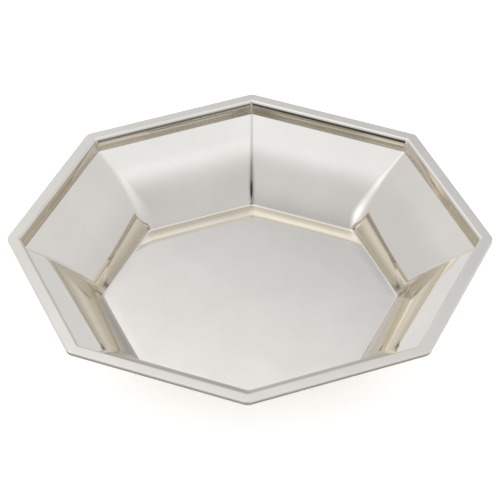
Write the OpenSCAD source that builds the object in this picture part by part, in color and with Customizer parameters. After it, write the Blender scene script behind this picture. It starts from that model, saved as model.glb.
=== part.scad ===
// Eight-sided nickel-plated serving dish, made up from sheet.
// Eight curved wall panels stand on a flat floor plate. Eight moulded lengths make the rim.
// The panels and the rim lengths are mitred at the corners and soldered edge to edge.
// The origin is on the surface that the dish stands on, under its centre.
// Two corners lie on the X axis and two on the Y axis.

/* [Overall] */
// Width of the rim over opposite corners, measured as if the corners were sharp
across_corners = 300; // [240:1:420]
// Depth inside the dish, from the top of the rim down to the floor
depth = 47.5; // [39:0.5:58]
// Thickness of the sheet that the walls and the rim are made from
sheet_t = 1.5; // [0.8:0.1:2.2]

/* [Floor] */
// Thickness of the floor plate
floor_t = 1.6; // [1:0.1:3]

/* [Walls] */
// Level distance from the head of a wall, under the rim, in to its foot
wall_run = 43; // [36:0.5:54]
// Slope of a wall at its head, in degrees from level
head_slope = 30; // [22:1:35]
// Length of the straight stretch at a wall's head, above its curve
straight_l = 14; // [0:1:22]

/* [Rim] */
// Width of the flat band along the top of the rim
band_w = 6.2; // [3.5:0.1:9]
// Height of the outer edge of the rim
edge_h = 2.4; // [2:0.1:5]
// Radius of the long outer edge, where the band meets the outer face
edge_r = 0.6; // [0.2:0.1:1]
// Radius of the rim's corners, seen from above
corner_r = 6; // [3:0.5:12]
// Radius, on the underside, of the bend from the band down into the step
nose_bend_r = 0.5; // [0.3:0.1:2.5]
// Slope of the step, in degrees from level
step_slope = 77; // [60:1:85]
// Length of the straight part of the step
step_l = 7; // [3:0.1:8]
// Radius, on the upper side, of the bend from the step out into the wall
cove_bend_r = 0.7; // [0.5:0.1:3]

/* [Hidden] */
$fn = 96;
SIDES = 8;
HALF_TURN = 180 / SIDES;
// Number of flats that stand for a small bend in the rim sheet, and for the curve of a wall
BEND_STEPS = 8;
CURVE_STEPS = 24;

// Heights, from the surface that the dish stands on
floor_z = floor_t;
rim_z = floor_t + depth;

// Distance from the centre to the outer face of a side
rim_x = across_corners / 2 * cos(HALF_TURN);

// The points where one stretch of the section runs into the next, from the band down to the wall.
// Each is [distance from the centre, height], and every stretch starts in line with the last one.
nose_r = nose_bend_r + sheet_t;
nose_centre = [rim_x - band_w, rim_z - nose_r];
step_top = nose_centre + nose_r * facing(step_slope);
step_foot = step_top + step_l * downhill(step_slope);
cove_centre = step_foot + cove_bend_r * facing(step_slope);
wall_head = cove_centre - cove_bend_r * facing(head_slope);

// The wall is straight at its head, and then one arc down to its foot, bulging up into the dish.
wall_foot = [wall_head[0] - wall_run, floor_z];
curve_top = wall_head + straight_l * downhill(head_slope);
curve_fall = curve_top[1] - wall_foot[1];
chord_slope = atan2(curve_fall, curve_top[0] - wall_foot[0]);
foot_slope = 2 * chord_slope - head_slope;
wall_r = norm(curve_top - wall_foot) / 2 / sin(chord_slope - head_slope);
wall_centre = curve_top - wall_r * facing(head_slope);

// The underside of the wall reaches the floor plate at its own slope, out at the plate's edge
outer_r = wall_r - sheet_t;
outer_foot_slope = acos((floor_z - wall_centre[1]) / outer_r);
floor_x = wall_centre[0] - outer_r * sin(outer_foot_slope);

// The direction that a surface faces, up and into the dish, where it slopes down at this angle
function facing(slope) = [-sin(slope), cos(slope)];

// The direction down a slope, towards the centre of the dish
function downhill(slope) = [-cos(slope), -sin(slope)];

// The angle, seen from above, of the middle of a numbered side
function side_angle(number) = HALF_TURN * (2 * number - 1);

// The eighth of a flat plate that belongs to one side, between two mitre lines
module mitre_wedge(reach) {
    half = reach * tan(HALF_TURN);
    polygon([[0, 0], [reach, -half], [reach, half]]);
}

// One side's share of the rim seen from above, with its two outer corners rounded
module rim_plan() {
    corner_x = rim_x - corner_r;
    corner_y = corner_x * tan(HALF_TURN);
    intersection() {
        mitre_wedge(2 * rim_x);
        union() {
            polygon([
                [0, 0], [corner_x, -corner_y], [rim_x, -corner_y],
                [rim_x, corner_y], [corner_x, corner_y]
            ]);
            for (end = [-1, 1])
                translate([corner_x, end * corner_y]) circle(corner_r);
        }
    }
}

// A long strip with this section, laid along one side of the dish
module along_side(number) {
    rotate([0, 0, side_angle(number)])
        rotate([90, 0, 0])
            linear_extrude(height = across_corners, center = true) children();
}

// Cuts what lies on one side of the dish to that side's share of the plan
module cut_to(number) {
    rotate([0, 0, side_angle(number)])
        linear_extrude(height = 2 * rim_z, center = true) children();
}

// Points along a bend, from one slope to another. A hollow bend has a negative radius.
function bend(centre, radius, slope_from, slope_to, steps) = [
    for (i = [0 : steps])
        centre + radius * facing(slope_from + (slope_to - slope_from) * i / steps)
];

// Sheet that is cut square at the head, and level with the floor at the foot
module wall_section() {
    upper_side = bend(wall_centre, wall_r, head_slope, foot_slope, CURVE_STEPS);
    underside = bend(wall_centre, outer_r, outer_foot_slope, head_slope, CURVE_STEPS);
    polygon(concat([wall_head], upper_side, underside, [wall_head - sheet_t * facing(head_slope)]));
}

// Sheet turned down at the outer edge and bent into a step at the inner one
module rim_section() {
    edge_centre = [rim_x - edge_r, rim_z - edge_r];
    upper_side = concat(
        [[rim_x, rim_z - edge_h]],
        bend(edge_centre, edge_r, -90, 0, BEND_STEPS),
        bend(nose_centre, nose_r, 0, step_slope, BEND_STEPS),
        bend(cove_centre, -cove_bend_r, step_slope, head_slope, BEND_STEPS)
    );
    underside = concat(
        bend(cove_centre, -(cove_bend_r + sheet_t), head_slope, step_slope, BEND_STEPS),
        bend(nose_centre, nose_bend_r, step_slope, 0, BEND_STEPS),
        [[rim_x - sheet_t, rim_z - sheet_t], [rim_x - sheet_t, rim_z - edge_h]]
    );
    polygon(concat(upper_side, underside));
}

module floor_plate() {
    color("gainsboro")
        linear_extrude(height = floor_t)
            circle(r = floor_x / cos(HALF_TURN), $fn = SIDES);
}

module wall(number) {
    color("silver") intersection() {
        along_side(number) wall_section();
        cut_to(number) mitre_wedge(2 * rim_x);
    }
}

module rim(number) {
    color("lightgrey") intersection() {
        along_side(number) rim_section();
        cut_to(number) rim_plan();
    }
}

floor_plate();
wall(1);  // wall_1
wall(2);  // wall_2
wall(3);  // wall_3
wall(4);  // wall_4
wall(5);  // wall_5
wall(6);  // wall_6
wall(7);  // wall_7
wall(8);  // wall_8
rim(1);  // rim_1
rim(2);  // rim_2
rim(3);  // rim_3
rim(4);  // rim_4
rim(5);  // rim_5
rim(6);  // rim_6
rim(7);  // rim_7
rim(8);  // rim_8
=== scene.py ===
import math

import bpy
from mathutils import Matrix, Vector


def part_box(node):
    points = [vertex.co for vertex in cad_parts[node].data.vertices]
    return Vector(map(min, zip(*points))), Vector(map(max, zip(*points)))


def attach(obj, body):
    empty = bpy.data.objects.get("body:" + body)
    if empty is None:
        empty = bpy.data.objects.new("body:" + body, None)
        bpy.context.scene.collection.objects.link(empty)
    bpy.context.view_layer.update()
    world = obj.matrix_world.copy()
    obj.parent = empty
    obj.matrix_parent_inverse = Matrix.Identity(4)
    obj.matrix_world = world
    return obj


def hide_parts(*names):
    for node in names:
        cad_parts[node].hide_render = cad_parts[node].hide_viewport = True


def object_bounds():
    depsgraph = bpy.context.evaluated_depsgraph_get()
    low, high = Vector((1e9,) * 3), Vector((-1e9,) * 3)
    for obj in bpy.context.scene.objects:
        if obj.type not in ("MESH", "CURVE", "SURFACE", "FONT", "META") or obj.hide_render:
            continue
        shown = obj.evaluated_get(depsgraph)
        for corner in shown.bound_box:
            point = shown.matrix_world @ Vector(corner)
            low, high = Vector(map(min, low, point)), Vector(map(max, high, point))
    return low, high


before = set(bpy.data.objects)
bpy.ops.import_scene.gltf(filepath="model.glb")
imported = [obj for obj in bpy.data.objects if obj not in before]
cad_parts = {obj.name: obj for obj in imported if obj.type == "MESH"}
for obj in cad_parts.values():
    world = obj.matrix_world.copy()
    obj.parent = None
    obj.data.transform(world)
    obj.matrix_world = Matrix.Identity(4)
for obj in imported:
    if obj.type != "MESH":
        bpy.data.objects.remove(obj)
cad_low, cad_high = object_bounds()
MM = 0.001

# ---------------------------------------------------------------------------------------------
# Floor sheet. One eight-sided plate of nickel-plated brass, which the dish stands on.
# It is cut from sheet, wheel polished on top, and soldered all round to the feet of the walls.
# ---------------------------------------------------------------------------------------------
HALF_TURN = math.radians(22.5)
plate_low, plate_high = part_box("floor_plate")
floor_z = plate_high.z
plate_x = plate_high.x * math.cos(HALF_TURN)
# The top is slightly crowned, and highest in the middle
crown = 1.4 * MM


def half_corner(distance, corner_r, bends):
    """Half of a rounded corner, seen from above, from its mitre to where the side runs straight."""
    flat = distance - corner_r
    reach = flat * math.tan(HALF_TURN)
    turned = [HALF_TURN * i / bends for i in range(bends, -1, -1)]
    return [(flat + corner_r * math.cos(t), reach + corner_r * math.sin(t)) for t in turned]


def side_line(distance, first_r, last_r, bends, flats):
    """One side seen from above, from mitre to mitre, with half of a rounded corner at each end."""
    first = [(x, -y) for x, y in half_corner(distance, first_r, bends)]
    last = half_corner(distance, last_r, bends)[::-1]
    from_y = first[-1][1]
    to_y = last[0][1]
    middle = [(distance, from_y + (to_y - from_y) * i / flats) for i in range(1, flats)]
    return first + middle + last


def carried_round(x, y, number):
    """A point beside the X axis, carried round the dish to a numbered side."""
    angle = HALF_TURN * (2 * number - 1)
    return (x * math.cos(angle) - y * math.sin(angle), x * math.sin(angle) + y * math.cos(angle))


def metal_piece(name, points, faces, along, finish, node):
    """Makes a piece of sheet from its points and faces, smooth but with its cut edges sharp."""
    mesh = bpy.data.meshes.new(name)
    mesh.from_pydata(points, [], faces)
    mesh.validate()
    layer = mesh.uv_layers.new(name="along_and_across")
    for loop in mesh.loops:
        layer.data[loop.index].uv = along[loop.vertex_index]
    mesh.shade_smooth()
    mesh.set_sharp_from_angle(angle=math.radians(40))
    mesh.materials.append(finish)
    piece = bpy.data.objects.new(name, mesh)
    bpy.context.collection.objects.link(piece)
    even = piece.modifiers.new("even_shading", "WEIGHTED_NORMAL")
    even.keep_sharp = True
    even.weight = 100
    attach(piece, "root")
    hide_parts(node)
    return piece


def nickel(name, roughness, line_scale, swell_height, swell_scale):
    """Polished nickel plate, with fine polishing lines, handled patches and a slow swell."""
    finish = bpy.data.materials.new(name)
    finish.use_nodes = True
    tree = finish.node_tree
    shader = tree.nodes["Principled BSDF"]
    shader.inputs["Metallic"].default_value = 1.0

    def add(kind, **values):
        made = tree.nodes.new(kind)
        for key, value in values.items():
            made.inputs[key.replace("_", " ")].default_value = value
        return made

    def join(source, output, target, entry):
        tree.links.new(source.outputs[output], target.inputs[entry])

    place = add("ShaderNodeTexCoord")
    stretch = add("ShaderNodeMapping", Scale=line_scale)
    lines = add("ShaderNodeTexNoise", Scale=1.0, Detail=3.0, Roughness=0.6)
    join(place, "UV", stretch, "Vector")
    join(stretch, "Vector", lines, "Vector")
    patches = add("ShaderNodeTexNoise", Scale=28.0, Detail=4.0, Roughness=0.55)
    join(place, "Object", patches, "Vector")
    rubbed = add("ShaderNodeMapRange", From_Min=0.3, From_Max=0.7)
    rubbed.inputs["To Min"].default_value = roughness * 0.8
    rubbed.inputs["To Max"].default_value = roughness * 1.25
    join(patches, "Fac", rubbed, "Value")
    join(rubbed, "Result", shader, "Roughness")
    tone = add("ShaderNodeValToRGB")
    tone.color_ramp.elements[0].position = 0.3
    tone.color_ramp.elements[0].color = (0.69, 0.635, 0.53, 1)
    tone.color_ramp.elements[1].position = 0.7
    tone.color_ramp.elements[1].color = (0.73, 0.675, 0.565, 1)
    join(patches, "Fac", tone, "Fac")
    join(tone, "Color", shader, "Base Color")
    swell = add("ShaderNodeTexNoise", Scale=swell_scale, Detail=1.0, Roughness=0.4)
    join(place, "Object", swell, "Vector")
    swell_relief = add("ShaderNodeBump", Strength=1.0, Distance=swell_height)
    join(swell, "Fac", swell_relief, "Height")
    line_relief = add("ShaderNodeBump", Strength=1.0, Distance=0.000002)
    join(lines, "Fac", line_relief, "Height")
    join(swell_relief, "Normal", line_relief, "Normal")
    join(line_relief, "Normal", shader, "Normal")
    return finish


wheel_polish = nickel("wheel_polished_nickel", 0.05, (60, 900, 1), 0.00002, 14.0)


def floor_sheet():
    """The plate as rings of quads, from the middle of its top out and under to its middle again."""
    top_rings = 32
    under_rings = 8
    edge_r = 0.3 * MM
    corner_reach = plate_x / math.cos(HALF_TURN)
    # share of the plate's width, along its edge, over which the crown dies away
    margin = 0.06
    top = [(plate_x * k / top_rings, floor_z) for k in range(1, top_rings + 1)]
    edge = [(plate_x, plate_low.z + edge_r), (plate_x - edge_r, plate_low.z)]
    under = [(plate_x * k / under_rings, plate_low.z) for k in range(under_rings - 1, 0, -1)]
    rings = top + edge + under
    points = []
    along = []
    for distance, height in rings:
        for number in range(1, 9):
            tiny_r = distance * 0.01
            for x, y in side_line(distance, tiny_r, tiny_r, 2, 8)[:-1]:
                px, py = carried_round(x, y, number)
                raised = 0
                if height == floor_z:
                    fading = min(1, (1 - distance / plate_x) / margin)
                    raised = crown * (1 - (px * px + py * py) / corner_reach ** 2) * fading
                points.append((px, py, height + raised))
                along.append((px, py))
    width = len(points) // len(rings)
    faces = [tuple(range(width))]
    for ring in range(len(rings) - 1):
        for i in range(width):
            inner, outer = ring * width, (ring + 1) * width
            j = (i + 1) % width
            faces.append((inner + i, outer + i, outer + j, inner + j))
    last = (len(rings) - 1) * width
    faces.append(tuple(range(last + width - 1, last - 1, -1)))
    metal_piece("floor_sheet", points, faces, along, wheel_polish, "floor_plate")


floor_sheet()

# ---------------------------------------------------------------------------------------------
# Wall panels. Eight lengths of thinner sheet, straight at the head and rolled to a curve below,
# and mitred at both ends. They are soldered to one another and to the floor, and the seams are
# dressed to soft hollows.
# ---------------------------------------------------------------------------------------------
wall_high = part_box("wall_1")[1]
sheet_t = 1.5 * MM
head_slope = 30
straight_l = 14 * MM
wall_run = 43 * MM
foot_hollow_r = 1.8 * MM
# Radius of a seam's hollow, seen from above. It widens all the way down, and closes at the floor.
# A tight seam took less solder than a wide one.
head_hollow_r = 3 * MM
wide_hollow_r = 22 * MM
tight_hollow_r = 9 * MM
floor_hollow_r = 5 * MM
closing_from = 0.75
# The seams after sides 1 to 8, which are wide and tight in turn
low_hollow_r = [wide_hollow_r, tight_hollow_r] * 4


def seam_hollow(share, seam):
    """The radius of a numbered seam at a share of the way in from the wall's head to its foot."""
    widening = head_hollow_r + (low_hollow_r[seam - 1] - head_hollow_r) * share * share
    if share < closing_from:
        return widening
    closed = (share - closing_from) / (1 - closing_from)
    return widening + (floor_hollow_r - widening) * closed * closed


def facing(slope):
    """The direction that a surface faces, up and into the dish, where it slopes down by this."""
    angle = math.radians(slope)
    return Vector((-math.sin(angle), math.cos(angle)))


def bend(centre, radius, slope_from, slope_to, steps):
    """Points along a bend, as distance from the middle and height. A hollow's radius is minus."""
    slopes = [slope_from + (slope_to - slope_from) * i / steps for i in range(steps + 1)]
    return [centre + radius * facing(slope) for slope in slopes]


def sheet_length(name, section, first_radii, last_radii, number, finish, node):
    """A closed section carried along one side of the dish, from mitre to mitre."""
    points = []
    along = []
    lines = [side_line(p[0], a, b, 8, 12) for p, a, b in zip(section, first_radii, last_radii)]
    width = len(lines[0])
    travelled = 0
    for row, (place, line) in enumerate(zip(section, lines)):
        travelled += (place - section[row - 1]).length if row else 0
        for x, y in line:
            px, py = carried_round(x, y, number)
            points.append((px, py, place[1]))
            along.append((y, travelled))
    faces = []
    count = len(section)
    for row in range(count):
        for i in range(width - 1):
            here, there = row * width, (row + 1) % count * width
            faces.append((here + i, here + i + 1, there + i + 1, there + i))
    faces.append(tuple(row * width for row in range(count)))
    faces.append(tuple(row * width + width - 1 for row in range(count - 1, -1, -1)))
    return metal_piece(name, points, faces, along, finish, node)


head_angle = math.radians(head_slope)
head_x = wall_high.x * math.cos(HALF_TURN) - sheet_t * math.sin(head_angle)
head = Vector((head_x, wall_high.z))
foot = Vector((head.x - wall_run, floor_z))
curve_top = head - straight_l * Vector((math.cos(head_angle), math.sin(head_angle)))
chord_slope = math.degrees(math.atan2(curve_top.y - foot.y, curve_top.x - foot.x))
foot_slope = 2 * chord_slope - head_slope
wall_r = (curve_top - foot).length / 2 / math.sin(math.radians(chord_slope - head_slope))
wall_centre = curve_top - wall_r * facing(head_slope)
bright_polish = nickel("bright_polished_nickel", 0.03, (60, 500, 1), 0.00006, 22.0)


def wall_panel(number):
    """One panel: its straight head, its curve, the solder at its foot, and its plain back."""
    upper = [head + (curve_top - head) * i / 12 for i in range(12)]
    upper += bend(wall_centre, wall_r, head_slope, foot_slope, 48)
    # the solder in the corner with the floor leaves a small hollow
    level = foot_hollow_r * math.tan(math.radians(foot_slope / 2))
    kept = [p for p in upper if (p - foot).length > level * 1.1]
    hollow_centre = Vector((foot.x - level, floor_z + foot_hollow_r))
    hollow = bend(hollow_centre, -foot_hollow_r, foot_slope, 0, 6)
    lower_edge = [Vector((plate_x, floor_z))]
    lower = bend(wall_centre, wall_r - sheet_t, foot_slope, head_slope, 24)
    lower = [p for p in lower if p.y > floor_z + 0.2 * MM] + [head - sheet_t * facing(head_slope)]
    section = kept + hollow + lower_edge + lower
    shares = [(head.x - p.x) / wall_run for p in kept + hollow]
    plain_r = 2 * MM
    under = [plain_r] * (len(section) - len(shares))
    first_radii = [seam_hollow(share, (number - 2) % 8 + 1) for share in shares] + under
    last_radii = [seam_hollow(share, number) for share in shares] + under
    sheet_length(f"wall_panel_{number}", section, first_radii, last_radii, number, bright_polish,
                 f"wall_{number}")


for number in range(1, 9):
    wall_panel(number)

# ---------------------------------------------------------------------------------------------
# Rim lengths. Eight strips of the same sheet: a flat band, turned down along its outer edge and
# bent sharply into a step along its inner one. They are mitred and soldered to the wall heads.
# ---------------------------------------------------------------------------------------------
rim_z = cad_high.z
corner_r = 6 * MM
rim_x = (cad_high.x + corner_r * (1 / math.cos(HALF_TURN) - 1)) * math.cos(HALF_TURN)
band_w = 6.2 * MM
edge_h = 2.4 * MM
edge_r = 0.6 * MM
nose_bend_r = 0.5 * MM
step_slope = 77
step_l = 7 * MM
cove_bend_r = 0.7 * MM
step_swell = 0.3 * MM
# How much flatter the swollen step is than the plain one, in degrees, where it leaves the bend
swell_turn = 9
ridge_h = 0.05 * MM
RIDGES = 6
step_rows = 48
band_polish = nickel("band_polished_nickel", 0.09, (40, 1400, 1), 0.00003, 30.0)

# painted shade: a hairline darkening along the bottom of the turned-down edge, standing in for the
# dark line that the edge shows there
band_tree = band_polish.node_tree
band_shader = band_tree.nodes["Principled BSDF"]
unshaded_colour = band_shader.inputs["Base Color"].links[0].from_socket
up_the_edge = band_tree.nodes.new("ShaderNodeTexCoord")
height_only = band_tree.nodes.new("ShaderNodeSeparateXYZ")
band_tree.links.new(up_the_edge.outputs["UV"], height_only.inputs[0])
edge_shade_factor = band_tree.nodes.new("ShaderNodeMapRange")
edge_shade_factor.inputs["From Min"].default_value = 1.5 * MM
edge_shade_factor.inputs["From Max"].default_value = 2.0 * MM
edge_shade_factor.inputs["To Min"].default_value = 0.35
band_tree.links.new(height_only.outputs["Y"], edge_shade_factor.inputs["Value"])
# painted shade: the band's colour is scaled down to 0.35 at the foot of the edge, rising to full
# colour 2 mm up
painted_edge_shade = band_tree.nodes.new("ShaderNodeVectorMath")
painted_edge_shade.operation = "SCALE"
band_tree.links.new(unshaded_colour, painted_edge_shade.inputs[0])
band_tree.links.new(edge_shade_factor.outputs["Result"], painted_edge_shade.inputs["Scale"])
band_tree.links.new(painted_edge_shade.outputs["Vector"], band_shader.inputs["Base Color"])


def rim_length(number):
    """One length: the outer edge, the band, the step with its ridges, and the hollow below it."""
    least_r = 0.6 * MM
    plain_r = 1 * MM
    nose_r = nose_bend_r + sheet_t
    edge_centre = Vector((rim_x - edge_r, rim_z - edge_r))
    nose_centre = Vector((rim_x - band_w, rim_z - nose_r))
    downhill = Vector((-math.cos(math.radians(step_slope)), -math.sin(math.radians(step_slope))))
    step_top = nose_centre + nose_r * facing(step_slope)
    step_foot = step_top + step_l * downhill
    cove_centre = step_foot + cove_bend_r * facing(step_slope)
    upper = [Vector((rim_x, rim_z - edge_h))]
    upper += bend(edge_centre, edge_r, -90, 0, 8)
    upper += bend(nose_centre, nose_r, 0, step_slope - swell_turn, 12)
    # the step swells a little, with the die's fine ridges along its lower half
    for i in range(4, step_rows - 1):
        share = i / step_rows
        swelling = step_swell * 4 * share * (1 - share)
        ridge = ridge_h * math.sin(2 * math.pi * RIDGES * share) if share > 0.5 else 0
        upper.append(step_top + downhill * step_l * share + facing(step_slope) * (swelling + ridge))
    upper += bend(cove_centre, -cove_bend_r, step_slope, head_slope, 12)
    under = bend(cove_centre, -cove_bend_r - sheet_t, head_slope, step_slope, 8)
    under += bend(nose_centre, nose_bend_r, step_slope, 0, 8)
    under += [Vector((rim_x - sheet_t, rim_z - sheet_t)), Vector((rim_x - sheet_t, rim_z - edge_h))]

    def radius(p):
        inward = rim_x - p.x
        if inward < band_w:
            return max(corner_r - inward, least_r)
        share = (inward - band_w) / (rim_x - head.x - band_w)
        return least_r + (head_hollow_r - least_r) * share

    radii = [radius(p) for p in upper] + [plain_r] * len(under)
    sheet_length(f"rim_length_{number}", upper + under, radii, radii, number, band_polish,
                 f"rim_{number}")


for number in range(1, 9):
    rim_length(number)

# ---------------------------------------------------------------------------------------------
# Studio. A pale paper floor in a soft white room, with windows to the left and the right, two
# lamps overhead, a bright wall behind, and the dark low front where the camera stands.
# ---------------------------------------------------------------------------------------------
bpy.ops.mesh.primitive_plane_add(size=12, location=(0, 0, 0))
ground = bpy.context.object
ground.name = "studio_floor"
pale = bpy.data.materials.new("pale_paper")
pale.use_nodes = True
pale_shader = pale.node_tree.nodes["Principled BSDF"]
pale_shader.inputs["Base Color"].default_value = (0.92, 0.91, 0.88, 1)
pale_shader.inputs["Roughness"].default_value = 0.9
pale_shader.inputs["Emission Color"].default_value = (1, 1, 1, 1)
pale_shader.inputs["Emission Strength"].default_value = 0.45
ground.data.materials.append(pale)

room = bpy.data.worlds.new("soft_white_room")
bpy.context.scene.world = room
room.use_nodes = True
room_tree = room.node_tree
looking = room_tree.nodes.new("ShaderNodeTexCoord")
room_light = room_tree.nodes.new("ShaderNodeCombineXYZ")
for channel, level in zip("XYZ", (0.82, 0.86, 0.98)):
    room_light.inputs[channel].default_value = level
room_light = room_light.outputs[0]


def room_patch(so_far, compass, height, tightness, colour):
    """Adds a soft round patch of light to the room, or takes light away where it is minus."""
    turn = math.radians(compass)
    lift = math.radians(height)
    middle = (math.cos(turn) * math.cos(lift), math.sin(turn) * math.cos(lift), math.sin(lift))
    nearness = room_tree.nodes.new("ShaderNodeVectorMath")
    nearness.operation = "DOT_PRODUCT"
    nearness.inputs[1].default_value = middle
    room_tree.links.new(looking.outputs["Generated"], nearness.inputs[0])
    fall_off = room_tree.nodes.new("ShaderNodeMath")
    fall_off.operation = "MULTIPLY_ADD"
    fall_off.inputs[1].default_value = tightness
    fall_off.inputs[2].default_value = -tightness
    room_tree.links.new(nearness.outputs["Value"], fall_off.inputs[0])
    patch = room_tree.nodes.new("ShaderNodeMath")
    patch.operation = "EXPONENT"
    room_tree.links.new(fall_off.outputs[0], patch.inputs[0])
    tinted = room_tree.nodes.new("ShaderNodeVectorMath")
    tinted.operation = "SCALE"
    tinted.inputs[0].default_value = colour
    room_tree.links.new(patch.outputs[0], tinted.inputs["Scale"])
    total = room_tree.nodes.new("ShaderNodeVectorMath")
    total.operation = "ADD"
    room_tree.links.new(so_far, total.inputs[0])
    room_tree.links.new(tinted.outputs[0], total.inputs[1])
    return total.outputs[0]


# the big window, and a second pane nearer to the camera
room_light = room_patch(room_light, 168, 54, 30, (0.5, 0.53, 0.59))
room_light = room_patch(room_light, 198, 28, 27, (0.8, 0.85, 0.94))
# the two lamps overhead, and the smaller window
room_light = room_patch(room_light, 197, 67, 36, (0.24, 0.27, 0.33))
room_light = room_patch(room_light, 340, 67, 36, (0.3, 0.33, 0.39))
room_light = room_patch(room_light, 10, 48, 14, (0.28, 0.3, 0.34))
# the wall behind the dish, bright high up and to the left, dim to the right, lit along its foot
room_light = room_patch(room_light, 106, 56, 20, (0.7, 0.74, 0.83))
room_light = room_patch(room_light, 78, 30, 28, (-0.3, -0.31, -0.32))
room_light = room_patch(room_light, 66, -4, 20, (0.14, 0.15, 0.165))
room_light = room_patch(room_light, 116, -4, 20, (0.26, 0.275, 0.3))
# the camera and the person behind it, and the dark low part of the room in front
room_light = room_patch(room_light, 271, 36, 80, (-0.65, -0.69, -0.78))
room_light = room_patch(room_light, 271, 42, 16, (-0.4, -0.42, -0.48))
room_light = room_patch(room_light, 270, 60, 50, (-0.3, -0.32, -0.36))
room_light = room_patch(room_light, 252, 4, 11, (-0.45, -0.48, -0.55))
room_light = room_patch(room_light, 230, -2, 60, (-0.8, -0.85, -0.95))
room_light = room_patch(room_light, 310, -2, 60, (-0.8, -0.85, -0.95))
never_minus = room_tree.nodes.new("ShaderNodeVectorMath")
never_minus.operation = "MAXIMUM"
never_minus.inputs[1].default_value = (0.05, 0.05, 0.05)
room_tree.links.new(room_light, never_minus.inputs[0])
room_tree.links.new(never_minus.outputs[0], room_tree.nodes["Background"].inputs["Color"])
room_tree.nodes["Background"].inputs["Strength"].default_value = 1.0

# ---------------------------------------------------------------------------------------------
# Camera. A long lens, well back and a little under half way up to overhead.
# ---------------------------------------------------------------------------------------------
rim_reach = rim_x / math.cos(HALF_TURN)
elevation = math.radians(39.44)
azimuth = math.radians(0.743)
tilt = math.radians(-0.383)
target = Vector((0.001 * rim_reach, -0.0786 * rim_reach, rim_z))
distance = 11.411 * rim_reach
backward = Vector((math.sin(azimuth) * math.cos(elevation), -math.cos(azimuth) * math.cos(elevation),
                   math.sin(elevation)))
sideways = Vector((0, 0, 1)).cross(backward).normalized()
upward = backward.cross(sideways)
turned_x = sideways * math.cos(tilt) + upward * math.sin(tilt)
turned_y = upward * math.cos(tilt) - sideways * math.sin(tilt)
camera_data = bpy.data.cameras.new("long_lens")
camera_data.sensor_width = 36
camera_data.lens = 201.07
camera_data.clip_end = 50
camera = bpy.data.objects.new("camera", camera_data)
camera.matrix_world = Matrix((turned_x, turned_y, backward)).transposed().to_4x4()
camera.matrix_world.translation = target + backward * distance
bpy.context.collection.objects.link(camera)
bpy.context.scene.camera = camera
bpy.context.scene.view_settings.view_transform = "Standard"
